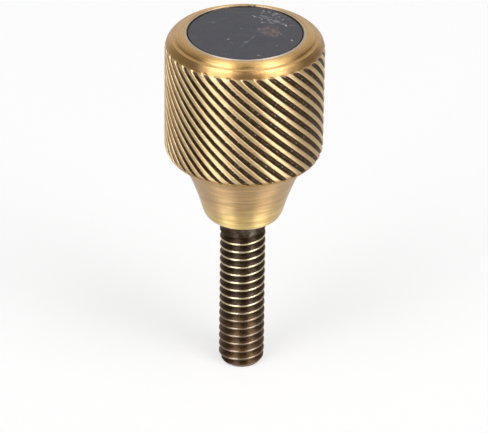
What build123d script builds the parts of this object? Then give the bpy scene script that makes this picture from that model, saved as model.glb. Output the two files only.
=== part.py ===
from build123d import *

import os
from math import degrees, radians, tan

os.makedirs("parts", exist_ok=True)


# Sizes in millimetres, angles in degrees.
# The screw stands on its tip: the axis is Z and the tip face is at Z = 0.

# Shank: a plain cylinder at the crest diameter of the fine thread
shank_diameter = 4.1
shank_length = 15.15
tip_face_diameter = 3.4
tip_chamfer_height = 0.5

# Neck: a bell that widens from the collar up to the underside of the knob
collar_diameter = 6.9
collar_edge_chamfer = 0.4
neck_length = 5.95
neck_top_diameter = 11.4
neck_flare_radius = 22.0

# Knob
knob_diameter = 14.0
knob_height = 12.0
knob_top_taper_height = 1.5
knob_top_taper_width = 0.55
knob_top_edge_radius = 0.7
knob_bottom_taper_height = 1.1
knob_bottom_taper_width = 0.9

# Knurl: straight-sided grooves round the knob on a left-hand helix
groove_count = 37
groove_depth = 0.35
groove_floor_width = 0.52
groove_mouth_width = 0.68
groove_helix_angle = 47.0
groove_start_angle = -91.7

# Stone disc glued into the recess in the top of the knob
stone_diameter = 10.0
stone_thickness = 2.0
stone_edge_chamfer = 0.1
stone_gap = 0.05
stone_below_lip = 0.05
lip_chamfer = 0.15


# Heights and radii that follow from the sizes
collar_bottom = shank_length
knob_bottom = collar_bottom + neck_length
knob_top = knob_bottom + knob_height

shank_radius = shank_diameter / 2
tip_face_radius = tip_face_diameter / 2
collar_radius = collar_diameter / 2
neck_top_radius = neck_top_diameter / 2
knob_radius = knob_diameter / 2

stone_radius = stone_diameter / 2
stone_top = knob_top - stone_below_lip
stone_bottom = stone_top - stone_thickness
recess_radius = stone_radius + stone_gap
recess_depth = knob_top - stone_bottom

# The floor of a groove keeps one radius, so each groove runs out by itself
# where the tapered ends of the knob fall away below that radius.
cutter_floor_radius = knob_radius - groove_depth
cutter_mouth_radius = knob_radius + groove_depth
cutter_mouth_width = 2 * groove_mouth_width - groove_floor_width
cutter_twist = -degrees(knob_height * tan(radians(groove_helix_angle)) / knob_radius)


# One groove: a section drawn at the underside of the knob and twisted upwards
with BuildSketch(Plane.XY.offset(knob_bottom)) as groove_section:
    Polygon(
        (cutter_floor_radius, -groove_floor_width / 2),
        (cutter_mouth_radius, -cutter_mouth_width / 2),
        (cutter_mouth_radius, cutter_mouth_width / 2),
        (cutter_floor_radius, groove_floor_width / 2),
        align=None,
    )

groove_cutter = Solid.extrude_linear_with_rotation(
    groove_section.sketch.face(),
    center=(0, 0, knob_bottom),
    normal=(0, 0, knob_height),
    angle=cutter_twist,
)


# Screw body: shank, neck and knob are turned from one bar
with BuildPart() as screw_body:
    with BuildSketch(Plane.XZ):
        with BuildLine():
            neck_start = (collar_radius, collar_bottom)
            neck_end = (neck_top_radius, knob_bottom)
            Polyline(
                (0, knob_top),
                (0, 0),
                (tip_face_radius, 0),
                (shank_radius, tip_chamfer_height),
                (shank_radius, collar_bottom),
                neck_start,
            )
            RadiusArc(neck_start, neck_end, neck_flare_radius)
            Polyline(
                neck_end,
                (knob_radius - knob_bottom_taper_width, knob_bottom),
                (knob_radius, knob_bottom + knob_bottom_taper_height),
                (knob_radius, knob_top - knob_top_taper_height),
                (knob_radius - knob_top_taper_width, knob_top),
                (0, knob_top),
            )
        make_face()
    revolve(axis=Axis.Z)

    # The circles of the blank lie in levels: the collar's is the third from the tip
    circle_levels = screw_body.edges().filter_by(GeomType.CIRCLE).group_by(Axis.Z)
    collar_rim = circle_levels[2].sort_by(SortBy.RADIUS)[-1]
    knob_rim = circle_levels[-1].sort_by(SortBy.RADIUS)[-1]
    chamfer(collar_rim, length=collar_edge_chamfer)
    fillet(knob_rim, radius=knob_top_edge_radius)

    with Locations((0, 0, knob_top)):
        Hole(radius=recess_radius, depth=recess_depth)
    top_circles = screw_body.edges().filter_by(GeomType.CIRCLE).group_by(Axis.Z)[-1]
    chamfer(top_circles.sort_by(SortBy.RADIUS)[0], length=lip_chamfer)

    with PolarLocations(0, groove_count, start_angle=groove_start_angle):
        add(groove_cutter, mode=Mode.SUBTRACT)

screw_body.part.label = "screw_body"
export_step(screw_body.part, "parts/screw_body.step")


# Stone: a flat disc with its edges just broken
with BuildPart() as stone_inlay:
    with BuildSketch(Plane.XY.offset(stone_bottom)):
        Circle(stone_radius)
    extrude(amount=stone_thickness)
    chamfer(stone_inlay.edges().filter_by(GeomType.CIRCLE), length=stone_edge_chamfer)

stone_inlay.part.label = "stone_inlay"
export_step(stone_inlay.part, "parts/stone_inlay.step")
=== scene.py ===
"""A saxophone neck screw: a knurled brass knob with a stone in its top, a flared neck and a threaded shank.

Every piece is a closed surface of rings round the axis of the screw, worked out with numpy.
Sizes are in metres, and the screw stands on its tip at the origin with its axis along Z.
"""

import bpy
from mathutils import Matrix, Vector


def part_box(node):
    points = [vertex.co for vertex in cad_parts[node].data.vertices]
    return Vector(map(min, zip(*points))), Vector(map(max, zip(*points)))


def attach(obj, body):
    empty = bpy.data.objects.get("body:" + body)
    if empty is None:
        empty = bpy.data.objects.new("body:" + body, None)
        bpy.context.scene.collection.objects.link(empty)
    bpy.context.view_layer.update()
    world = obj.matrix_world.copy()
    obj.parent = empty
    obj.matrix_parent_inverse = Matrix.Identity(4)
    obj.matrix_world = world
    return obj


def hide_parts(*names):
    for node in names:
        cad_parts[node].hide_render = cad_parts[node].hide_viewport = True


bl_info = {
    "name": "Saxophone neck screw",
    "version": (1, 0, 0),
    "blender": (4, 5, 0),
    "location": "3D View > Sidebar > Neck screw",
    "description": "Builds the knurled knob, neck, threaded shank and stone of a saxophone neck screw",
    "category": "Mesh",
}

from math import cos, pi, radians, sin, sqrt, tan

import bpy
import numpy as np
from bpy.props import FloatProperty, FloatVectorProperty, IntProperty, PointerProperty
from mathutils import Matrix, Vector

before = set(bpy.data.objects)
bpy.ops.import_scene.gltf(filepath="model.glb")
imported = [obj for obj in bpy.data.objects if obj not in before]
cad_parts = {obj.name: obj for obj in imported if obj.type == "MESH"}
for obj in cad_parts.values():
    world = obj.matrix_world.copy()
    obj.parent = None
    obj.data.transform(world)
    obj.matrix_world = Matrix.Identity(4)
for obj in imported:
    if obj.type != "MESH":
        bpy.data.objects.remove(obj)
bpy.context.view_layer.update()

MM = 0.001
_, body_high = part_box("screw_body")
stone_low, stone_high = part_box("stone_inlay")

# The height in millimetres at which the first ridge of the knurl is placed
RIDGE_LEVEL = 27.3


# The sizes and colours that a user would change

def length(name, description, millimetres):
    """A length property whose default is given in millimetres."""
    return FloatProperty(
        name=name, description=description, default=millimetres * MM, min=0.0, precision=5,
        subtype="DISTANCE", unit="LENGTH",
    )


def colour(name, description, red, green, blue):
    """A colour property in linear light."""
    return FloatVectorProperty(
        name=name, description=description, default=(red, green, blue), size=3, min=0.0, max=1.0,
        subtype="COLOR",
    )


class KnobSizes(bpy.types.PropertyGroup):
    """Sizes of the knurled knob."""

    radius: length("Radius", "Radius over the ridges of the knurl", body_high[0] / MM)
    top: length("Top", "Height of the top of the rim above the tip", body_high[2] / MM)
    underside: length("Underside", "Height of the underside above the tip", 21.1)
    recess_radius: length("Recess radius", "Radius of the recess that holds the stone", 5.05)
    rim_line_radius: length("Rim line radius", "Radius of the fine line turned in the rim", 6.08)
    top_round_height: length("Top rounding", "Height over which the top corner rounds off", 1.66)
    bottom_round_height: length("Bottom rounding", "Height over which the lower corner rounds off", 1.35)
    bottom_round_width: length("Bottom rounding width", "Width over which the lower corner rounds off", 1.2)
    grooves: IntProperty(
        name="Grooves", description="Number of grooves of the knurl", default=37, min=3, max=80)
    groove_depth: length("Groove depth", "Depth of the grooves below the ridges", 0.35)
    groove_share: FloatProperty(
        name="Groove share", description="Width of a groove as a share of the spacing",
        default=0.56, min=0.1, max=0.9, subtype="FACTOR")
    helix_angle: FloatProperty(
        name="Helix angle", description="Angle between the grooves and the axis, left-hand",
        default=radians(47.0), min=0.0, max=radians(80.0), subtype="ANGLE", unit="ROTATION")
    first_ridge: FloatProperty(
        name="First ridge", description="Angle of one ridge from the front, at the ridge level",
        default=radians(-2.7), subtype="ANGLE", unit="ROTATION")


class NeckSizes(bpy.types.PropertyGroup):
    """Sizes of the flared neck and its collar."""

    collar_radius: length("Collar radius", "Radius of the neck at the collar", 3.45)
    collar_height: length("Collar height", "Height of the flat face of the collar above the tip", 15.15)
    top_radius: length("Top radius", "Radius where the neck meets the knob", 5.7)
    flare_radius: length("Flare radius", "Radius of the hollow curve of the flare", 22.0)
    edge_width: length("Edge width", "Width of the rounded edge of the collar", 0.35)
    edge_height: length("Edge height", "Height of the rounded edge of the collar", 0.95)


class ThreadSizes(bpy.types.PropertyGroup):
    """Sizes of the threaded shank."""

    crest_radius: length("Crest radius", "Outer radius of the thread", 2.05)
    root_radius: length("Root radius", "Radius at the root of the thread", 1.57)
    pitch: length("Pitch", "Rise of the thread in one turn, right-hand", 0.799)
    first_crest: length("First crest", "Height of one crest at the front above the tip", 0.98)
    last_turn: length("Last full turn", "Height where the full depth of thread ends", 13.2)
    tip_radius: length("Tip radius", "Radius of the flat face at the tip", 1.7)
    tip_chamfer: length("Tip chamfer", "Height of the chamfer at the tip", 0.5)


class StoneSizes(bpy.types.PropertyGroup):
    """Sizes of the stone disc."""

    radius: length("Radius", "Radius of the stone disc", stone_high[0] / MM)
    edge: length("Edge", "Width of the softened edge of the stone", 0.09)


class Finishes(bpy.types.PropertyGroup):
    """Colours of the metal and the stone, in linear light."""

    rim: colour("Rim brass", "Turned faces of the knob", 0.53, 0.32, 0.105)
    # The pale lip colour is a painted highlight along the bead round the stone
    lip: colour("Lip", "Pale lip round the stone", 0.56, 0.45, 0.33)
    ridge: colour("Ridge brass", "Ridges of the knurl", 0.82, 0.61, 0.315)
    neck: colour("Neck brass", "Turned face of the neck", 0.69, 0.455, 0.20)
    # The collar colour is a painted highlight: the lower neck brightens towards it
    collar: colour("Collar brass", "Edge of the collar", 1.0, 0.76, 0.29)
    crest: colour("Crest brass", "Crests of the thread", 0.86, 0.72, 0.44)
    dull_crest: colour("Dull crests", "Crests of the thread near the tip", 0.37, 0.29, 0.21)
    rosy: colour("Rosy tint", "Tint that multiplies the metal in its redder patches", 1.0, 0.86, 0.86)
    glint: colour("Glint", "Small fresh nicks", 0.95, 0.85, 0.62)
    patina: colour("Patina", "Dark antique finish left in the grooves", 0.083, 0.048, 0.023)
    patina_brown: colour("Brown patina", "Paler brown patches of that finish", 0.20, 0.115, 0.060)
    worn: colour("Worn patina", "Grey-brown patches under the collar", 0.20, 0.16, 0.125)
    # Painted shade in brown on the rim and on the top of the neck under the knob; the thread also browns
    # towards the tip
    painted_shade_and_stain: colour("Brown stain", "Brown tarnish on the rim and near the tip", 0.33, 0.165, 0.05)
    stone: colour("Stone", "Ground colour of the stone", 0.030, 0.0275, 0.035)
    stone_blue: colour("Blue stone", "Bluish patches of the stone", 0.028, 0.031, 0.041)
    petal: colour("Petals", "Paler flecks of the reddish patch", 0.185, 0.135, 0.125)
    vein: colour("Veins", "Pale veins and specks in the stone", 0.42, 0.42, 0.45)
    rust: colour("Rust", "Reddish patch in the stone", 0.085, 0.060, 0.060)


def strength(name, description, value):
    """A strength of light or a share of white."""
    return FloatProperty(name=name, description=description, default=value, min=0.0)


class StageLevels(bpy.types.PropertyGroup):
    """Levels of the light and the white background."""

    lamp: strength("Lamps", "Radiance of the two soft lamps", 3.2)
    room: strength("Room", "Strength of the white room that lights the object", 0.3)
    reflector: strength("Reflectors", "Strength of the tall white reflectors that the metal mirrors", 2.7)
    paper: strength("Paper", "Whiteness of the floor, from 0 to 1", 0.45)


class NeckScrewSettings(bpy.types.PropertyGroup):
    """All the settings of the neck screw."""

    knob: PointerProperty(type=KnobSizes)
    neck: PointerProperty(type=NeckSizes)
    thread: PointerProperty(type=ThreadSizes)
    stone: PointerProperty(type=StoneSizes)
    finish: PointerProperty(type=Finishes)
    stage: PointerProperty(type=StageLevels)


# Surfaces of rings

def ring_surface(name, x, y, z, turn, attributes=None):
    """Makes a closed mesh from a grid of points.

    Row i is a ring round the axis and column j a line from the first pole to the last. The first and
    last row are each drawn together to one point, so the poles are closed, and the last column joins
    the first. The rows run from the upper pole outwards and down, which turns the faces outwards.
    turn is the share of a turn round the axis at each point, and attributes are grids of numbers.
    """
    rows, columns = x.shape
    inner = np.stack([x[1:-1], y[1:-1], z[1:-1]], axis=-1).reshape(-1, 3)
    first = np.array([[x[0].mean(), y[0].mean(), z[0].mean()]])
    last = np.array([[x[-1].mean(), y[-1].mean(), z[-1].mean()]])
    points = np.concatenate([first, inner, last])
    rings = rows - 2

    column = np.arange(columns)
    right = (column + 1) % columns
    ring = np.arange(rings - 1)[:, None] * columns + 1
    quads = np.stack([ring + column, ring + columns + column, ring + columns + right, ring + right], axis=-1)
    quads = quads.reshape(-1, 4)
    start = (rings - 1) * columns + 1
    end = len(points) - 1
    cap = np.stack([np.zeros(columns, int), 1 + column, 1 + right], axis=-1)
    foot = np.stack([start + column, np.full(columns, end), start + right], axis=-1)

    loops = np.concatenate([quads.ravel(), cap.ravel(), foot.ravel()]).astype(np.int32)
    sizes = np.concatenate([np.full(len(quads), 4), np.full(2 * columns, 3)]).astype(np.int32)
    starts = (np.cumsum(sizes) - sizes).astype(np.int32)

    mesh = bpy.data.meshes.new(name)
    mesh.vertices.add(len(points))
    mesh.vertices.foreach_set("co", points.astype(np.float32).ravel())
    mesh.loops.add(len(loops))
    mesh.loops.foreach_set("vertex_index", loops)
    mesh.polygons.add(len(sizes))
    mesh.polygons.foreach_set("loop_start", starts)
    mesh.polygons.foreach_set("loop_total", sizes)
    mesh.polygons.foreach_set("use_smooth", np.ones(len(sizes), bool))
    mesh.update(calc_edges=True)

    # The map runs down the profile in U, at 20 to the metre, and round the axis in V by the true angle,
    # so that the direction of U lies across the turning marks everywhere.
    steps = np.hypot(np.diff(np.hypot(x, y), axis=0), np.diff(z, axis=0)).mean(axis=1)
    u = np.broadcast_to((np.concatenate([[0.0], np.cumsum(steps)]) * 20.0)[:, None], x.shape)
    over = np.concatenate([turn[:, 1:], turn[:, :1] + 1.0], axis=1)
    quad_uv = np.stack([u[1:-2], turn[1:-2], u[2:-1], turn[2:-1],
                        u[2:-1], over[2:-1], u[1:-2], over[1:-2]], axis=-1)
    cap_uv = np.stack([u[0], turn[1], u[1], turn[1], u[1], over[1]], axis=-1)
    foot_uv = np.stack([u[-2], turn[-2], u[-1], turn[-2], u[-2], over[-2]], axis=-1)
    layer = mesh.uv_layers.new(name="Profile")
    layer.uv.foreach_set(
        "vector", np.concatenate([quad_uv.ravel(), cap_uv.ravel(), foot_uv.ravel()]).astype(np.float32))

    for key, grid in (attributes or {}).items():
        values = np.concatenate([[grid[0].mean()], grid[1:-1].ravel(), [grid[-1].mean()]])
        mesh.attributes.new(key, "FLOAT", "POINT").data.foreach_set("value", values.astype(np.float32))

    mesh.validate()
    piece = bpy.data.objects.new(name, mesh)
    bpy.context.scene.collection.objects.link(piece)
    return piece


def joined(*runs):
    """Joins runs of profile points, each an array of rows (radius, height)."""
    return np.concatenate([np.asarray(run, float).reshape(-1, 2) for run in runs])


def straight(start, end, count):
    """Points evenly from start up to, but not with, end."""
    share = np.arange(count)[:, None] / count
    return np.asarray(start, float) * (1 - share) + np.asarray(end, float) * share


def quarter(centre, wide, high, start, end, count):
    """Points on an ellipse round centre, from angle start to end in degrees, both included."""
    angle = np.radians(np.linspace(start, end, count))
    return np.stack([centre[0] + wide * np.cos(angle), centre[1] + high * np.sin(angle)], axis=-1)


def turned(profile, columns):
    """A profile in millimetres turned round the axis: x, y and z in metres, and the share of a turn."""
    angle = np.arange(columns)[None, :] * (2 * pi / columns)
    r = profile[:, :1]
    z = np.broadcast_to(profile[:, 1:], (len(profile), columns))
    turn = np.broadcast_to(angle / (2 * pi), z.shape)
    return r * np.sin(angle) * MM, -r * np.cos(angle) * MM, z * MM, turn


def smooth_step(value):
    """Rises from 0 to 1 as value does, level at both ends."""
    value = np.clip(value, 0.0, 1.0)
    return value * value * (3 - 2 * value)


# Materials

def new_material(name):
    """A material with one Principled shader, and the shader's node."""
    material = bpy.data.materials.new(name)
    material.use_nodes = True
    return material, material.node_tree.nodes["Principled BSDF"]


class Wiring:
    """Short hands for the nodes of one material or world."""

    def __init__(self, tree):
        self.nodes = tree.nodes
        self.links = tree.links

    def put(self, socket, value):
        """Sets a socket to a value, or links it where the value is another node's output."""
        if isinstance(value, bpy.types.NodeSocket):
            self.links.new(value, socket)
        else:
            socket.default_value = value

    def math(self, operation, first, second=0.0, third=0.0):
        """One sum of up to three numbers."""
        node = self.nodes.new("ShaderNodeMath")
        node.operation = operation
        for socket, value in zip(node.inputs, (first, second, third)):
            self.put(socket, value)
        return node.outputs[0]

    def vector_math(self, operation, *values):
        """One sum of up to three vectors: the node, which gives a vector or a value."""
        node = self.nodes.new("ShaderNodeVectorMath")
        node.operation = operation
        for socket, value in zip(node.inputs, values):
            self.put(socket, value)
        return node

    def span(self, value, low, high, to_low=0.0, to_high=1.0, smooth=True):
        """Moves a number from one range to another, and holds it there."""
        node = self.nodes.new("ShaderNodeMapRange")
        node.interpolation_type = "SMOOTHSTEP" if smooth else "LINEAR"
        self.put(node.inputs["Value"], value)
        self.put(node.inputs["From Min"], low)
        self.put(node.inputs["From Max"], high)
        self.put(node.inputs["To Min"], to_low)
        self.put(node.inputs["To Max"], to_high)
        return node.outputs["Result"]

    def blend(self, share, first, second, kind="MIX"):
        """Mixes two colours by a share."""
        node = self.nodes.new("ShaderNodeMix")
        node.data_type = "RGBA"
        node.blend_type = kind
        self.put(node.inputs[0], share)
        self.put(node.inputs[6], first if isinstance(first, bpy.types.NodeSocket) else (*first, 1.0))
        self.put(node.inputs[7], second if isinstance(second, bpy.types.NodeSocket) else (*second, 1.0))
        return node.outputs[2]

    def noise(self, vector, scale, detail, roughness, w=None):
        """Noise from 0 to 1 with a middle of 0.5."""
        node = self.nodes.new("ShaderNodeTexNoise")
        node.noise_dimensions = "3D" if w is None else "4D"
        self.put(node.inputs["Vector"], vector)
        if w is not None:
            self.put(node.inputs["W"], w)
        node.inputs["Scale"].default_value = scale
        node.inputs["Detail"].default_value = detail
        node.inputs["Roughness"].default_value = roughness
        return node.outputs["Fac"]

    def place(self):
        """The point on the object, in metres."""
        return self.nodes.new("ShaderNodeTexCoord").outputs["Object"]

    def attribute(self, name):
        """A number kept on the mesh."""
        node = self.nodes.new("ShaderNodeAttribute")
        node.attribute_name = name
        return node.outputs["Fac"]

    def ring_place(self, around, across):
        """Coordinates for marks that run round the axis.

        The vector is the direction from the axis times around, with the height times across, and the
        fourth number is the radius times across.
        """
        split = self.nodes.new("ShaderNodeSeparateXYZ")
        self.put(split.inputs[0], self.place())
        x, y, z = split.outputs
        squares = self.math("ADD", self.math("MULTIPLY", x, x), self.math("MULTIPLY", y, y))
        radius = self.math("SQRT", squares)
        join = self.nodes.new("ShaderNodeCombineXYZ")
        self.put(join.inputs[0], self.math("MULTIPLY", self.math("DIVIDE", x, radius), around))
        self.put(join.inputs[1], self.math("MULTIPLY", self.math("DIVIDE", y, radius), around))
        self.put(join.inputs[2], self.math("MULTIPLY", z, across))
        return join.outputs[0], self.math("MULTIPLY", radius, across)

    def shaken(self, place, scale, reach):
        """The place moved about by a noise, by up to half of reach in metres."""
        node = self.nodes.new("ShaderNodeTexNoise")
        self.put(node.inputs["Vector"], place)
        node.inputs["Scale"].default_value = scale
        moved = self.vector_math("MULTIPLY_ADD", node.outputs["Color"], (reach,) * 3, place)
        return self.vector_math("SUBTRACT", moved.outputs[0], (reach / 2,) * 3).outputs[0]

    def specks(self, channel, run):
        """Small dots at uneven steps along the middle of each groove.

        channel is 0 in the middle of a groove and 1 at its edge, and run is the way along it in steps
        of one dot, which starts elsewhere in each groove. A dot reaches a tenth of a step along the
        groove, and about a quarter of the way to its edge.
        """
        cells = self.nodes.new("ShaderNodeTexVoronoi")
        cells.voronoi_dimensions = "1D"
        self.put(cells.inputs["W"], run)
        cells.inputs["Scale"].default_value = 1.0
        ahead = self.math("MULTIPLY", cells.outputs["Distance"], 10.0)
        aside = self.math("MULTIPLY", channel, 3.8)
        off = self.math("ADD", self.math("POWER", ahead, 2.0), self.math("POWER", aside, 2.0))
        dot = self.span(off, 1.0, 0.2)
        chance = self.nodes.new("ShaderNodeSeparateXYZ")
        self.put(chance.inputs[0], cells.outputs["Color"])
        return self.math("MULTIPLY", dot, self.span(chance.outputs[0], 0.3, 1.0, 0.1, 1.0, smooth=False))

    def near(self, place, centre, size, soft=0.6, angle=0.0):
        """1 at a centre and 0 outside an ellipsoid round it, in millimetres, turned about Z by degrees."""
        node = self.nodes.new("ShaderNodeMapping")
        node.vector_type = "TEXTURE"
        self.put(node.inputs["Vector"], place)
        node.inputs["Location"].default_value = tuple(c * MM for c in centre)
        node.inputs["Rotation"].default_value = (0.0, 0.0, radians(angle))
        node.inputs["Scale"].default_value = tuple(c * MM for c in size)
        far = self.vector_math("LENGTH", node.outputs[0]).outputs["Value"]
        return self.span(far, 1.0, 1.0 - soft)

    def bump(self, height, distance, normal=None):
        """A normal bent by a height from 0 to 1 that stands for a distance in metres."""
        node = self.nodes.new("ShaderNodeBump")
        self.put(node.inputs["Height"], height)
        node.inputs["Distance"].default_value = distance
        if normal is not None:
            self.put(node.inputs["Normal"], normal)
        return node.outputs["Normal"]


# Turning marks: how fast they change round the axis, and across the marks in steps to the metre
FINE_MARKS = (2.2, 15000.0)
BROAD_MARKS = (1.4, 5200.0)


def add_spots(wire, place, grain, finish, spots, colour_out, metallic):
    """Lays small spots over a colour and over how metallic it is."""
    tints = {"glint": tuple(finish.glint), "bare": tuple(finish.worn),
             "chip": tuple(c * 0.25 for c in finish.patina)}
    for centre, radius, kind in spots:
        shaken = wire.shaken(place, 3000.0, 0.3 * radius * MM)
        spot = wire.near(shaken, centre, (radius, radius, radius), 0.5)
        if kind == "bare":
            spot = wire.math("MULTIPLY", spot, wire.span(grain, 0.35, 0.6, 0.2, 1.0))
        colour_out = wire.blend(spot, colour_out, tints[kind])
        if kind == "glint":
            metallic = wire.math("MAXIMUM", metallic, spot)
        if kind == "chip":
            metallic = wire.math("MULTIPLY", metallic, wire.math("SUBTRACT", 1.0, spot))
    return colour_out, metallic


def brass(name, finish, satin, polished, lines, coat, spots, grooved=False, age=1.0):
    """Turned brass with an antique finish under a thin lacquer.

    The attribute relief is 1 on ridges and crests and 0 deep in a groove; it is also 0 on the recess
    wall, as painted shade. Deep places keep the dark patina, and high ones are worn to bare metal. The
    attribute polish_and_painted_highlight mixes the satin finish (0) with the polished one (1); on the
    lower neck that brighter colour is a painted highlight. painted_shade_and_stain is the share of brown:
    painted shade on the rim and the top of the neck, and brown towards the tip of the thread. rough is
    the roughness. Fine turning marks, as strong as lines says, run round the axis. They spread a
    highlight far along the profile, but hardly round the axis. spots lists small spots in millimetres,
    each a place, a radius and a kind: a bright glint, a dark chip or a bare patch. A grooved piece also
    has specks of bare metal along the middle of its grooves, and a pale lip, whose pale colour is a
    painted highlight on the bead. age is the brightness of the patina.
    """
    material, shader = new_material(name)
    wire = Wiring(material.node_tree)
    place = wire.place()
    vector, across = wire.ring_place(*FINE_MARKS)
    fine = wire.noise(vector, 1.0, 2.0, 0.6, across)
    vector, across = wire.ring_place(*BROAD_MARKS)
    broad = wire.noise(vector, 1.0, 2.0, 0.6, across)
    cloud = wire.noise(place, 900.0, 3.0, 0.55)
    grain = wire.noise(place, 5200.0, 3.0, 0.65)

    # Bare metal on what stands up, with a grainy border
    border = wire.math("MULTIPLY", wire.math("SUBTRACT", grain, 0.5), 0.35)
    metal = wire.span(wire.math("ADD", wire.attribute("relief"), border), 0.45, 0.8)
    deep = tuple(1.0 - share * lines for share in (0.24, 0.30, 0.42))
    light = tuple(1.0 + share * lines for share in (0.17, 0.17, 0.15))
    bright = wire.math("ADD", wire.span(broad, 0.32, 0.68, 0.0, 0.5), wire.span(fine, 0.3, 0.7, 0.0, 0.5))
    # The polished colour is real polish on ridges and crests, and a painted highlight on the lower neck
    bare = wire.blend(wire.attribute("polish_and_painted_highlight"), tuple(satin), tuple(polished))
    bare = wire.blend(1.0, bare, wire.blend(bright, deep, light), "MULTIPLY")
    bare = wire.blend(wire.span(cloud, 0.42, 0.68, 0.0, 0.4), bare, tuple(finish.rosy), "MULTIPLY")

    # Patina in what lies deep, and over both a brown: painted shade on the rim and the top of the neck, and
    # brown towards the tip of the thread
    brown_share = wire.span(wire.noise(place, 2600.0, 3.0, 0.7), 0.4, 0.72)
    patina = wire.blend(brown_share, tuple(c * age for c in finish.patina),
                        tuple(c * age for c in finish.patina_brown))
    colour_out = wire.blend(metal, patina, bare)
    painted_shade_and_stain = wire.math("MULTIPLY", wire.attribute("painted_shade_and_stain"), wire.span(cloud, 0.35, 0.65, 0.4, 1.0))
    colour_out = wire.blend(painted_shade_and_stain, colour_out, tuple(finish.painted_shade_and_stain))
    metallic = wire.span(metal, 0.0, 1.0, 0.75, 1.0, smooth=False)
    worn = wire.math("ADD", wire.attribute("rough"), wire.span(fine, 0.3, 0.7, -0.04, 0.05))
    rough = wire.math("ADD", wire.math("MULTIPLY", metal, wire.math("SUBTRACT", worn, 0.5)), 0.5)

    if grooved:
        # The pale, less metallic lip colour is a painted highlight along the bead
        lip = wire.attribute("lip")
        colour_out = wire.blend(lip, colour_out, tuple(finish.lip))
        metallic = wire.math("SUBTRACT", metallic, wire.math("MULTIPLY", lip, 0.6))
        speck = wire.specks(wire.attribute("channel"), wire.attribute("run"))
        speck = wire.math("MULTIPLY", speck, wire.math("SUBTRACT", 1.0, metal))
        colour_out = wire.blend(speck, colour_out, tuple(finish.glint))
        metallic = wire.math("MAXIMUM", metallic, speck)
    colour_out, metallic = add_spots(wire, place, grain, finish, spots, colour_out, metallic)

    wire.put(shader.inputs["Base Color"], colour_out)
    wire.put(shader.inputs["Metallic"], metallic)
    wire.put(shader.inputs["Roughness"], rough)
    wire.put(shader.inputs["Coat Weight"], wire.span(metal, 0.0, 1.0, 0.1, coat, smooth=False))
    shader.inputs["Coat Roughness"].default_value = 0.35
    shader.inputs["Coat IOR"].default_value = 1.5
    shader.inputs["Anisotropic"].default_value = 1.0
    tangent = wire.nodes.new("ShaderNodeTangent")
    tangent.direction_type = "UV_MAP"
    tangent.uv_map = "Profile"
    wire.put(shader.inputs["Tangent"], tangent.outputs[0])
    normal = wire.bump(fine, 0.000008 * lines)
    normal = wire.bump(broad, 0.000022 * lines, normal)
    wire.put(shader.inputs["Normal"], wire.bump(grain, 0.000006, normal))
    return material


# Veins and spots of the stone: centre x and y, half length and half width in millimetres,
# turn in degrees, and how far they show.
STONE_VEINS = (
    (0.72, 3.28, 0.40, 0.07, -28.0, 0.6), (1.33, 2.96, 0.42, 0.07, -35.0, 0.7),
    (0.89, 3.16, 0.14, 0.11, 0.0, 1.0), (2.15, 2.50, 0.30, 0.10, 25.0, 1.0),
    (2.07, 2.95, 0.30, 0.06, 12.0, 0.6), (1.40, 2.06, 0.17, 0.08, 0.0, 0.8),
    (2.74, 2.21, 0.22, 0.12, -10.0, 0.9), (3.55, 1.50, 0.32, 0.12, -81.0, 1.0),
    (3.33, 1.72, 0.18, 0.07, 20.0, 0.7), (1.55, 4.25, 0.20, 0.10, -30.0, 0.8),
    (2.07, 4.10, 0.26, 0.08, -38.0, 0.8), (1.85, 3.88, 0.27, 0.07, 20.0, 0.5),
    (2.65, 3.86, 0.26, 0.09, -25.0, 0.9), (3.24, 2.54, 0.24, 0.18, 0.0, 0.35),
    (2.63, 2.96, 0.36, 0.06, 90.0, 0.45), (3.00, 3.00, 0.32, 0.06, -70.0, 0.4),
    (4.06, 1.50, 0.34, 0.24, 10.0, 0.16), (4.06, -1.30, 0.17, 0.15, 0.0, 1.0),
    (3.07, -0.07, 0.12, 0.09, 0.0, 0.7), (3.35, -0.45, 0.36, 0.09, -50.0, 0.18),
    (2.80, -2.30, 0.16, 0.15, 0.0, 0.4), (1.57, 0.05, 0.48, 0.07, 0.0, 0.35),
    (0.65, -0.78, 0.72, 0.17, 67.5, 0.17), (0.20, -1.60, 0.38, 0.16, 51.0, 0.17),
    (0.02, -1.80, 0.28, 0.26, 0.0, 0.30), (-0.25, -2.40, 0.60, 0.13, 63.0, 0.13),
    (-1.48, -1.30, 0.17, 0.16, 0.0, 1.0), (1.21, -4.13, 0.20, 0.15, 0.0, 0.7),
    (-2.79, 1.98, 0.42, 0.14, 20.0, 0.18), (-1.17, -1.95, 0.30, 0.12, -40.0, 0.10),
    (0.20, 3.95, 1.30, 0.10, 0.0, 0.08), (-1.90, 2.70, 0.80, 0.10, 25.0, 0.10),
    (-1.54, -4.02, 0.18, 0.12, 0.0, 0.2),
)

# Petals of the reddish patch, in the same way
STONE_PETALS = (
    (1.20, 0.76, 0.24, 0.38, 0.0, 0.8), (1.60, 0.78, 0.20, 0.40, 0.0, 0.7),
    (1.96, 1.02, 0.22, 0.42, 0.0, 0.9), (2.46, 0.42, 0.24, 0.52, 0.0, 1.0),
    (2.82, 0.14, 0.18, 0.34, -20.0, 0.8), (2.30, -0.42, 0.46, 0.14, -60.0, 0.8),
    (2.70, -0.42, 0.40, 0.14, 60.0, 0.8), (2.80, 1.00, 0.22, 0.40, -20.0, 0.4),
    (1.90, 0.20, 0.50, 0.14, -15.0, 0.5),
)


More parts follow.
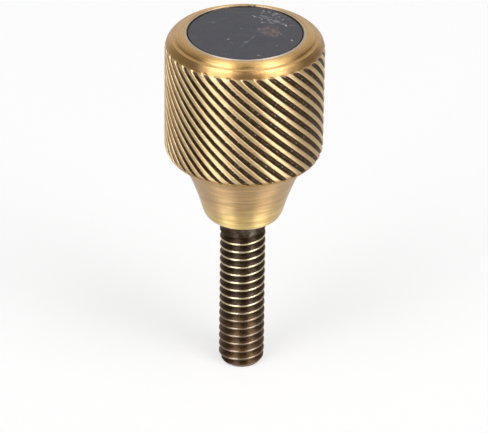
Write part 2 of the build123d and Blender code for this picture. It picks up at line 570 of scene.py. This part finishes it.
def veined_stone(name, finish):
    """Dark polished stone with a mottled ground, one reddish patch, and pale veins with frayed edges."""
    material, shader = new_material(name)
    wire = Wiring(material.node_tree)
    place = wire.place()
    frayed = wire.shaken(wire.shaken(place, 800.0, 0.00035), 3200.0, 0.00028)
    cloud = wire.noise(place, 520.0, 4.0, 0.6)
    ground = wire.blend(wire.span(cloud, 0.35, 0.7), tuple(finish.stone), tuple(finish.stone_blue))
    fleck = wire.span(wire.noise(place, 4200.0, 2.0, 0.6), 0.66, 0.82, 0.0, 0.4)
    ground = wire.blend(fleck, ground, tuple(finish.vein))

    def oval(x, y, long, wide, soft, turn=0.0):
        """A soft ellipse on the face, as deep as the stone is thick and more."""
        middle = (stone_low[2] + stone_high[2]) / 2 / MM
        return wire.near(frayed, (x, y, middle), (long, wide, 9.0), soft, turn)

    def drawn(shapes):
        """The share at which a list of ellipses shows."""
        share = 0.0
        for x, y, long, wide, turn, level in shapes:
            shape = oval(x, y, long, wide, 0.8, turn)
            share = wire.math("MAXIMUM", share, wire.math("MULTIPLY", shape, level))
        return share

    patch = oval(1.98, 0.35, 1.25, 1.45, 0.6)
    grains = wire.span(wire.noise(place, 2100.0, 2.0, 0.6), 0.34, 0.58, 0.3, 0.9)
    ground = wire.blend(wire.math("MULTIPLY", patch, grains), ground, tuple(finish.rust))
    ground = wire.blend(wire.math("MULTIPLY", drawn(STONE_PETALS), 0.75), ground, tuple(finish.petal))
    band = oval(2.3, 2.9, 2.1, 1.7, 0.6, -20.0)
    torn = wire.span(wire.noise(place, 2400.0, 3.0, 0.7), 0.5, 0.66, 0.0, 0.42)
    ground = wire.blend(wire.math("MULTIPLY", band, torn), ground, tuple(finish.vein))
    crumbs = wire.span(wire.noise(place, 5200.0, 1.0, 0.5), 0.3, 0.55, 0.5, 1.0)
    broken = wire.math("MULTIPLY", drawn(STONE_VEINS), crumbs)
    wire.put(shader.inputs["Base Color"], wire.blend(broken, ground, tuple(finish.vein)))
    wire.put(shader.inputs["Roughness"], wire.span(cloud, 0.3, 0.7, 0.3, 0.42))
    shader.inputs["Specular IOR Level"].default_value = 0.3
    wire.put(shader.inputs["Normal"], wire.bump(wire.noise(place, 1500.0, 3.0, 0.6), 0.000012))
    return material


def dress(piece, material):
    """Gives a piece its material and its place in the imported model."""
    piece.data.materials.clear()
    piece.data.materials.append(material)
    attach(piece, "root")


# The pieces

def knob_profile(sizes):
    """The section of the knob in millimetres, from the floor of the recess over the rim to the underside.

    A bead rounds the lip of the recess. From there the top face falls away ever more steeply, as far as
    the fine turned line. Beyond the line a small corner turns into a slope, drawn as a quadratic curve
    with one bend point, which runs out into the upright side.
    """
    radius = sizes.radius / MM
    top = sizes.top / MM
    under = sizes.underside / MM
    recess = sizes.recess_radius / MM
    line = sizes.rim_line_radius / MM
    floor = stone_low[2] / MM
    side_top = top - sizes.top_round_height / MM
    low_high = sizes.bottom_round_height / MM
    low_wide = sizes.bottom_round_width / MM

    bead = 0.10
    face_start = recess + 0.30
    first_lean, last_lean = 1.0, 38.0
    share = np.linspace(0.0, 1.0, 14)
    face_r = face_start + (line - face_start) * share
    lean = np.radians(first_lean + (last_lean - first_lean) * share)
    fall = np.diff(face_r) * np.tan(0.5 * (lean[1:] + lean[:-1]))
    face_z = top - 0.045 - np.concatenate([[0.0], np.cumsum(fall)])
    line_z = face_z[-1]

    corner, corner_z = line + 0.35, line_z - 0.14
    share = np.linspace(0.0, 1.0, 16)[:, None]
    start = np.array([corner + 0.035, corner_z - 0.055])
    bend = np.array([radius - 0.02, corner_z - 0.42])
    end = np.array([radius, side_top])
    slope = (1 - share) ** 2 * start + 2 * share * (1 - share) * bend + share ** 2 * end
    return joined(
        (0.0, floor), (0.5 * recess, floor), (recess - 0.03, floor), (recess, floor + 0.03),
        (recess, top - 0.6), (recess, top - 0.13),
        quarter((recess + bead, top - bead), bead, bead, 178.0, 90.0, 7),
        quarter((recess + 0.13, top - bead), 0.12, bead, 84.0, 35.0, 5),
        (face_start - 0.035, top - 0.075), (face_start - 0.015, top - 0.052),
        np.stack([face_r, face_z], axis=-1),
        (line + 0.02, line_z - 0.045), (line + 0.05, line_z - 0.06),
        quarter((corner - 0.06, corner_z - 0.08), 0.10, 0.085, 92.0, 32.0, 7),
        slope,
        straight((radius, side_top), (radius, under + low_high), 44)[1:],
        quarter((radius - low_wide, under + low_high), low_wide, low_high, 0.0, -88.0, 13),
        (radius - low_wide - 0.1, under), (0.6 * radius, under), (0.0, under),
    )


def knob_painted_shade(sizes, r, z, angle):
    """Painted brown shade in the turned line, on the steep part and the sides of the rim, and on the left of
    the knurl.
    """
    radius = sizes.radius / MM
    line = sizes.rim_line_radius / MM
    upper = smooth_step((z - (sizes.top / MM - 1.2)) / 0.3)
    beside = smooth_step((np.abs(np.sin(angle)) - 0.5) / 0.35)
    to_right = smooth_step(np.sin(angle))
    in_line = 0.55 * np.exp(-((r - line - 0.03) / 0.05) ** 2)
    steep = 0.8 * smooth_step((r - (radius - 0.5)) / 0.12) * (1 - 0.65 * beside)
    sides = beside * (0.03 + 0.3 * to_right) * smooth_step((r - (line - 0.28)) / 0.6)
    rim = np.clip((in_line + steep + sides) * upper, 0.0, 0.8)
    left_ridges = 0.5 * smooth_step((-np.sin(angle) - 0.72) / 0.2)
    return np.where(r < radius - 0.03, rim, left_ridges)


def knob_surface(sizes):
    """The knob as rings that turn with the grooves.

    A column keeps its place across a groove: its angle falls with height as the left-hand helix does.
    The radius is the smaller of the profile's and that of a groove, which is a rounded channel of
    even depth: depth times (1 - |share across|^2.6)^(1/2). So a groove runs out by itself where
    the profile falls away below its floor.
    """
    radius = sizes.radius / MM
    top = sizes.top / MM
    under = sizes.underside / MM
    recess = sizes.recess_radius / MM
    depth = sizes.groove_depth / MM
    profile = knob_profile(sizes)
    r = profile[:, :1]
    z = profile[:, 1:]

    count = sizes.grooves
    half = sizes.groove_share / 2
    land_share = 1 - 2 * half
    land = np.linspace(0.0, land_share, 8)[:-1]
    channel = land_share + 2 * half * (0.5 - 0.5 * np.cos(np.linspace(0.0, pi, 14)[:-1]))
    phase = np.concatenate([land, channel])
    column = (np.arange(count)[:, None] + phase[None, :] - (0.5 - half)).ravel() * (2 * pi / count)
    across = np.tile(np.clip((phase - (1 - half)) / half, -1.0, 1.0), count)
    on_land = np.tile(np.clip((phase - (0.5 - half)) / (0.5 - half), -1.0, 1.0), count)
    is_land = np.tile(phase <= land_share + 1e-9, count)
    angle = sizes.first_ridge + column[None, :] - tan(sizes.helix_angle) / radius * (z - RIDGE_LEVEL)

    # Each ridge is slightly crowned, and the grooves grow shallow just below the rim
    crown = 0.025
    shape = np.sqrt(np.clip(1 - np.abs(across) ** 2.6, 0.0, None))
    groove = np.where(is_land, crown * np.abs(on_land) ** 3, crown + (depth - crown) * shape)[None, :]
    groove = groove * (1 - 0.62 * smooth_step((z - (top - 1.9)) / 1.1))
    groove_radius = radius - groove
    blank = np.broadcast_to(r, angle.shape)
    soft = 0.02
    smaller = 0.5 * (blank + groove_radius - np.sqrt((blank - groove_radius) ** 2 + soft ** 2))
    zone = (r > radius - 1.0) & (z > under + 0.02)
    ring = np.where(zone, smaller, blank)
    relief = np.where(zone, 1 - np.clip((blank - ring - 0.035) / 0.13, 0.0, 1.0), 1.0)

    # The wall of the recess above the stone takes the dark patina colour as painted shade
    painted_shade_wall = (r > recess - 0.05) & (r < recess + 0.07)
    bead = (r > recess + 0.07) & (r < recess + 0.27) & (z > top - 0.2)
    ridge = (r > radius - 0.1) & (z < top - 0.5)
    steep = r > radius - 0.4
    dot_step, groove_shift = 0.75, 31.7
    number = np.repeat(np.arange(count), len(phase))
    along = (z - under) / cos(sizes.helix_angle)
    traits = {
        "relief": np.where(painted_shade_wall, 0.0, relief),
        "polish_and_painted_highlight": np.broadcast_to(np.where(ridge, 1.0, 0.0), angle.shape),
        "rough": np.broadcast_to(np.select([bead, ridge, steep], [0.6, 0.42, 0.34], 0.26), angle.shape),
        # Painted shade in brown on the rim and on the left of the knurl
        "painted_shade_and_stain": knob_painted_shade(sizes, r, z, angle),
        "lip": np.broadcast_to(np.where(bead, 1.0, 0.0), angle.shape),
        "channel": np.where(zone & ~is_land[None, :], np.abs(across)[None, :], 1.0),
        "run": along / dot_step + groove_shift * number[None, :],
    }
    z = np.broadcast_to(z, angle.shape)
    return ring * np.sin(angle) * MM, -ring * np.cos(angle) * MM, z * MM, angle / (2 * pi), traits


# Chips in the finish at the back of the rim, and a fresh nick in the knurl
KNOB_SPOTS = (
    ((0.37, 5.12, 33.08), 0.16, "chip"), ((0.58, 5.28, 33.10), 0.13, "chip"),
    ((0.84, 5.42, 33.06), 0.15, "chip"), ((0.80, 5.10, 33.08), 0.15, "chip"),
    ((0.20, 5.36, 33.06), 0.10, "chip"), ((-6.32, -3.01, 29.59), 0.28, "glint"),
    ((-6.25, -3.15, 29.25), 0.20, "glint"),
)


class NECKSCREW_OT_knob(bpy.types.Operator):
    """Add the knurled knob"""

    bl_idname = "neck_screw.knob"
    bl_label = "Add knob"

    def execute(self, context):
        settings = context.scene.neck_screw
        x, y, z, turn, traits = knob_surface(settings.knob)
        piece = ring_surface("knob", x, y, z, turn, traits)
        finish = settings.finish
        dress(piece, brass("knob_brass", finish, finish.rim, finish.ridge, lines=0.6, coat=0.35,
                           spots=KNOB_SPOTS, grooved=True))
        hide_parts("screw_body")
        return {"FINISHED"}


def neck_surface(sizes, underside):
    """The neck as rings: a hollow arc from the collar to the knob, with a rounded edge at the collar.

    The arc's centre lies outside the neck, on the line at right angles to the middle of its chord.
    """
    bottom = sizes.collar_height / MM
    top = underside / MM
    low = sizes.collar_radius / MM
    high = sizes.top_radius / MM
    arc = sizes.flare_radius / MM
    edge_wide = sizes.edge_width / MM
    edge_high = sizes.edge_height / MM

    chord = sqrt((high - low) ** 2 + (top - bottom) ** 2)
    lift = sqrt(arc ** 2 - chord ** 2 / 4)
    centre_r = (low + high) / 2 + lift * (top - bottom) / chord
    centre_z = (bottom + top) / 2 - lift * (high - low) / chord
    height = np.concatenate([np.linspace(top + 0.25, bottom + edge_high, 44),
                             bottom + edge_high * np.cos(np.radians(np.linspace(4.0, 90.0, 14)))])
    flare = centre_r - np.sqrt(arc ** 2 - (height - centre_z) ** 2)
    share = np.clip((bottom + edge_high - height) / edge_high, 0.0, 1.0)
    flare = flare - edge_wide * (1 - np.sqrt(1 - 0.998 * share ** 2))
    profile = joined((0.0, height[0]), (2.0, height[0]), np.stack([flare, height], axis=-1),
                     (flare[-1] - 0.04, bottom), (1.8, bottom), (0.0, bottom))
    x, y, z, turn = turned(profile, 256)
    # Painted highlight: the lower neck brightens towards the collar colour
    polish_and_painted_highlight = smooth_step((bottom + 3.6 - z / MM) / 3.6)
    # Painted shade on the top of the neck, under the knob
    painted_shade_and_stain = 0.3 * smooth_step((z / MM - (top - 1.3)) / 1.2)
    traits = {"relief": np.ones_like(z), "polish_and_painted_highlight": polish_and_painted_highlight, "rough": np.full_like(z, 0.40), "painted_shade_and_stain": painted_shade_and_stain}
    return x, y, z, turn, traits


# A fresh nick in the neck
NECK_SPOTS = (((1.49, -3.60, 17.46), 0.09, "glint"),)


class NECKSCREW_OT_neck(bpy.types.Operator):
    """Add the flared neck with its collar"""

    bl_idname = "neck_screw.neck"
    bl_label = "Add neck"

    def execute(self, context):
        settings = context.scene.neck_screw
        x, y, z, turn, traits = neck_surface(settings.neck, settings.knob.underside)
        piece = ring_surface("neck", x, y, z, turn, traits)
        finish = settings.finish
        dress(piece, brass("neck_brass", finish, finish.neck, finish.collar, lines=1.3, coat=1.0,
                           spots=NECK_SPOTS))
        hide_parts("screw_body")
        return {"FINISHED"}


def shank_surface(sizes, collar_height):
    """The shank as rings of even height.

    The radius depends on the place in the thread, which is the height less the rise at that angle,
    counted in pitches: a flat crest, a straight flank and a rounded root. Above the last full turn
    the root rises, as a die leaves it, and the tip is cut back by a chamfer.
    """
    crest = sizes.crest_radius / MM
    root = sizes.root_radius / MM
    tip_radius = sizes.tip_radius / MM
    last_turn = sizes.last_turn / MM
    top = collar_height / MM + 0.2
    columns = 160
    rows = 400
    angle = np.arange(columns)[None, :] * (2 * pi / columns)
    z = np.broadcast_to(np.linspace(top, 0.0, rows)[:, None], (rows, columns))

    # away is 0 on a crest and 1 midway between two
    pitches = (z - sizes.first_crest / MM) / (sizes.pitch / MM) - angle / (2 * pi)
    away = np.abs(pitches - np.round(pitches)) * 2
    crest_share, flank_end = 0.13, 0.88
    depth = (crest - root) * np.clip((away - crest_share) / (flank_end - crest_share), 0.0, 1.0)
    depth = depth * (1 - 0.75 * smooth_step((z - last_turn) / 1.0))
    tip = tip_radius + (crest - tip_radius) * z / (sizes.tip_chamfer / MM)
    r = np.minimum(crest - depth, np.maximum(tip, tip_radius))

    # The crests are bare up to the last turn, and dull towards the tip
    relief = 1 - np.clip(depth / 0.12, 0.0, 1.0)
    relief = relief * (1 - smooth_step((z - last_turn) / 0.4))
    polish_and_painted_highlight = smooth_step((z - 4.8) / 2.0)
    ends = ((1, 1), (0, 0))
    x = np.pad(r * np.sin(angle), ends)
    y = np.pad(-r * np.cos(angle), ends)
    z = np.pad(z, ends, "edge")
    turn = np.broadcast_to(angle / (2 * pi), z.shape)
    # The thread turns browner towards the tip
    traits = {"relief": np.pad(relief, ends, "edge"), "polish_and_painted_highlight": np.pad(polish_and_painted_highlight, ends, "edge"),
              "painted_shade_and_stain": 0.28 * (1 - smooth_step((z - 4.2) / 2.8)), "rough": np.full_like(z, 0.36)}
    return x * MM, y * MM, z * MM, turn, traits


# Fresh nicks in the thread, and worn patches under the collar
SHANK_SPOTS = (
    ((-1.556, -1.334, 10.38), 0.10, "glint"), ((0.05, -2.05, 10.82), 0.09, "glint"),
    ((0.036, -2.05, 12.15), 0.10, "glint"), ((-0.405, -1.96, 0.81), 0.12, "glint"),
    ((-0.757, -1.85, 0.69), 0.10, "glint"), ((0.15, -2.04, 14.30), 0.55, "bare"),
    ((0.95, -1.82, 14.30), 0.60, "bare"), ((1.60, -1.28, 14.40), 0.50, "bare"),
    ((0.75, -1.91, 13.85), 0.25, "bare"),
)


class NECKSCREW_OT_shank(bpy.types.Operator):
    """Add the threaded shank"""

    bl_idname = "neck_screw.shank"
    bl_label = "Add threaded shank"

    def execute(self, context):
        settings = context.scene.neck_screw
        x, y, z, turn, traits = shank_surface(settings.thread, settings.neck.collar_height)
        piece = ring_surface("threaded_shank", x, y, z, turn, traits)
        finish = settings.finish
        dress(piece, brass("thread_brass", finish, finish.dull_crest, finish.crest, lines=0.3, coat=0.4,
                           spots=SHANK_SPOTS, age=0.62))
        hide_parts("screw_body")
        return {"FINISHED"}


def stone_surface(sizes):
    """The stone as rings: a flat disc with a softened edge."""
    radius = sizes.radius / MM
    edge = sizes.edge / MM
    low = stone_low[2] / MM
    top = stone_high[2] / MM
    across = np.linspace(0.0, 1.0, 24)[:, None] * (radius - edge)
    face = np.concatenate([across, np.full_like(across, top)], axis=1)
    profile = joined(face, quarter((radius - edge, top - edge), edge, edge, 80.0, 0.0, 6),
                     (radius, low + 0.05), (radius - 0.05, low), (radius / 2, low), (0.0, low))
    return turned(profile, 192)


class NECKSCREW_OT_stone(bpy.types.Operator):
    """Add the stone disc"""

    bl_idname = "neck_screw.stone"
    bl_label = "Add stone"

    def execute(self, context):
        settings = context.scene.neck_screw
        x, y, z, turn = stone_surface(settings.stone)
        piece = ring_surface("stone", x, y, z, turn)
        dress(piece, veined_stone("veined_stone", settings.finish))
        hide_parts("stone_inlay")
        return {"FINISHED"}


# The stage

def add_camera():
    """The camera of the photograph: 29.8 degrees above the floor, far off through a long lens.

    It aims at a point on the screw, which shows at target_pixel in the picture and not in its middle.
    """
    picture_wide, picture_high = 488.0, 433.0
    target_pixel = (243.02, 209.78)
    lens_pixels = 3774.7
    target = Vector((0.0, 0.0, 0.0154))
    distance = 0.33565
    height = radians(29.76)
    roll = Matrix.Rotation(radians(0.70), 3, "Z")
    data = bpy.data.cameras.new("Camera")
    data.sensor_width = 36.0
    data.lens = data.sensor_width * lens_pixels / picture_wide
    data.clip_start = 0.01
    data.clip_end = 20.0
    camera = bpy.data.objects.new("Camera", data)
    bpy.context.scene.collection.objects.link(camera)
    away = Vector((0.0, -cos(height), sin(height)))
    look = (-away).to_track_quat("-Z", "Y")
    offset = Vector((target_pixel[0] - picture_wide / 2, picture_high / 2 - target_pixel[1], -lens_pixels))
    nudge = offset.rotation_difference(Vector((0.0, 0.0, -1.0))).to_matrix()
    turn = look.to_matrix() @ roll @ nudge
    camera.matrix_world = Matrix.Translation(target + away * distance) @ turn.to_4x4()
    bpy.context.scene.camera = camera


def add_lamp(name, azimuth, radiance):
    """A soft upright lamp that faces the screw. Azimuth is in degrees from the front, to the right."""
    aim = Vector((0.0, 0.0, 0.02))
    distance = 1.0
    wide, tall = 0.50, 1.1
    around, up = radians(azimuth), radians(46.0)
    data = bpy.data.lights.new(name, "AREA")
    data.shape = "RECTANGLE"
    data.size = wide
    data.size_y = tall
    data.energy = radiance * pi * wide * tall
    lamp = bpy.data.objects.new(name, data)
    bpy.context.scene.collection.objects.link(lamp)
    away = Vector((cos(up) * sin(around), -cos(up) * cos(around), sin(up)))
    lamp.location = aim + away * distance
    lamp.rotation_euler = (-away).to_track_quat("-Z", "Y").to_euler()


def add_floor(levels):
    """A wide sheet of white paper, which shines a little so that it stays white round the shadow."""
    half = 1.5
    mesh = bpy.data.meshes.new("floor")
    corners = [(-half, -half, 0.0), (half, -half, 0.0), (half, half, 0.0), (-half, half, 0.0)]
    mesh.from_pydata(corners, [], [(0, 1, 2, 3)])
    floor = bpy.data.objects.new("floor", mesh)
    bpy.context.scene.collection.objects.link(floor)
    material, shader = new_material("white_paper")
    wire = Wiring(material.node_tree)
    shader.inputs["Base Color"].default_value = (levels.paper, levels.paper, levels.paper, 1.0)
    shader.inputs["Roughness"].default_value = 0.9
    shader.inputs["Specular IOR Level"].default_value = 0.1
    shader.inputs["Emission Color"].default_value = (1.0, 1.0, 1.0, 1.0)
    seen = wire.nodes.new("ShaderNodeLightPath")
    straight = wire.math("MAXIMUM", seen.outputs["Is Camera Ray"], seen.outputs["Is Transmission Ray"])
    share = wire.math("MULTIPLY_ADD", straight, 0.325, 0.26)
    share = wire.math("ADD", share, wire.math("MULTIPLY", seen.outputs["Is Glossy Ray"], 0.1))
    wire.put(shader.inputs["Emission Strength"], share)
    mesh.materials.append(material)


# The two tall reflectors, as directions from the screw: the low and high end of the inner edge, those
# of the outer edge, and how far the outer edge fades outwards
REFLECTORS = (
    (((-0.275, -0.899, 0.342), (-0.131, 0.068, 0.989)),
     ((-0.814, -0.470, 0.342), (-0.409, 0.237, 0.881)), 0.16),
    (((0.441, -0.830, 0.342), (0.200, 0.090, 0.975)),
     ((0.858, -0.382, 0.342), (0.417, 0.249, 0.873)), 0.34),
)


def set_world(levels):
    """A white room: pure white to the camera, with a darker side behind the camera in the metal."""
    world = bpy.data.worlds.new("White room")
    world.use_nodes = True
    bpy.context.scene.world = world
    wire = Wiring(world.node_tree)
    nodes = wire.nodes
    nodes.clear()
    out = nodes.new("ShaderNodeOutputWorld")
    seen = nodes.new("ShaderNodeLightPath")
    place = nodes.new("ShaderNodeTexCoord")
    split = nodes.new("ShaderNodeSeparateXYZ")
    wire.put(split.inputs[0], place.outputs["Generated"])
    up = split.outputs[2]

    def along(way):
        """The part of the looked-at direction that lies along a way."""
        return wire.vector_math("DOT_PRODUCT", place.outputs["Generated"], tuple(way)).outputs["Value"]

    def beyond(edge, inside, start, end):
        """Rises from 0 to 1 across the plane through the screw and an edge, towards the inside."""
        plane = Vector(edge[0]).cross(Vector(edge[1])).normalized()
        if plane.dot(inside) < 0:
            plane = -plane
        return wire.span(along(plane), start, end)

    # What the metal mirrors: a white backdrop behind the screw, a soft ceiling and two tall reflectors
    backward = along((0.0, 1.0, 0.0))
    flat = wire.math("SQRT", wire.math("SUBTRACT", 1.0, wire.math("MULTIPLY", up, up)))
    behind = wire.math("DIVIDE", backward, wire.math("MAXIMUM", flat, 0.001))
    backdrop = wire.math("MULTIPLY", wire.span(behind, 0.55, 0.97), wire.span(up, 0.998, 0.93))
    mirrored = wire.span(backdrop, 0.0, 1.0, 0.30, 0.95, smooth=False)
    mirrored = wire.math("MAXIMUM", mirrored, wire.span(up, 0.92, 0.985, 0.30, 0.62))
    cool = 0.0
    for inner, outer, fade in REFLECTORS:
        inside = sum(map(Vector, inner + outer), Vector())
        box = wire.math("MULTIPLY", beyond(inner, inside, 0.0, 0.06), beyond(outer, inside, -fade, 0.25))
        box = wire.math("MULTIPLY", box, wire.span(up, 0.0, 0.25))
        box = wire.math("MULTIPLY", box, wire.span(backward, 0.85, 0.65))
        mirrored = wire.math("ADD", mirrored, wire.math("MULTIPLY", box, levels.reflector))
        cool = wire.math("MAXIMUM", cool, box)

    straight = wire.math("MAXIMUM", seen.outputs["Is Camera Ray"], seen.outputs["Is Transmission Ray"])
    is_glossy = seen.outputs["Is Glossy Ray"]
    diffuse = wire.math("MULTIPLY", wire.math("SUBTRACT", 1.0, is_glossy), levels.room)
    other = wire.math("ADD", diffuse, wire.math("MULTIPLY", is_glossy, mirrored))
    tint = wire.blend(wire.math("MULTIPLY", cool, is_glossy), (1.0, 1.0, 1.0), (0.90, 1.01, 1.25))
    background = nodes.new("ShaderNodeBackground")
    wire.put(background.inputs["Color"], tint)
    wire.put(background.inputs["Strength"], wire.math("MAXIMUM", straight, other))
    wire.links.new(background.outputs[0], out.inputs[0])


class NECKSCREW_OT_stage(bpy.types.Operator):
    """Add the camera, the lamps and the white room"""

    bl_idname = "neck_screw.stage"
    bl_label = "Add stage"

    def execute(self, context):
        levels = context.scene.neck_screw.stage
        add_camera()
        add_floor(levels)
        set_world(levels)
        add_lamp("Lamp left", -43.0, 0.85 * levels.lamp)
        add_lamp("Lamp right", 50.0, levels.lamp)
        context.scene.view_settings.view_transform = "Standard"
        return {"FINISHED"}


class NECKSCREW_PT_panel(bpy.types.Panel):
    """The operators and settings of the neck screw"""

    bl_idname = "NECKSCREW_PT_panel"
    bl_label = "Neck screw"
    bl_space_type = "VIEW_3D"
    bl_region_type = "UI"
    bl_category = "Neck screw"

    def draw(self, context):
        layout = self.layout
        settings = context.scene.neck_screw
        for operator, group in STEPS:
            box = layout.box()
            box.operator(operator)
            values = getattr(settings, group)
            for key in values.__annotations__:
                box.prop(values, key)
        for key in settings.finish.__annotations__:
            layout.prop(settings.finish, key)


STEPS = (
    ("neck_screw.knob", "knob"),
    ("neck_screw.neck", "neck"),
    ("neck_screw.shank", "thread"),
    ("neck_screw.stone", "stone"),
    ("neck_screw.stage", "stage"),
)

CLASSES = (
    KnobSizes, NeckSizes, ThreadSizes, StoneSizes, Finishes, StageLevels, NeckScrewSettings,
    NECKSCREW_OT_knob, NECKSCREW_OT_neck, NECKSCREW_OT_shank, NECKSCREW_OT_stone, NECKSCREW_OT_stage,
    NECKSCREW_PT_panel,
)


def register():
    for item in CLASSES:
        bpy.utils.register_class(item)
    bpy.types.Scene.neck_screw = PointerProperty(type=NeckScrewSettings)


def unregister():
    del bpy.types.Scene.neck_screw
    for item in reversed(CLASSES):
        bpy.utils.unregister_class(item)


def main():
    """Builds every piece and the stage."""
    register()
    bpy.ops.neck_screw.knob()
    bpy.ops.neck_screw.neck()
    bpy.ops.neck_screw.shank()
    bpy.ops.neck_screw.stone()
    bpy.ops.neck_screw.stage()


if __name__ == "__main__":
    main()
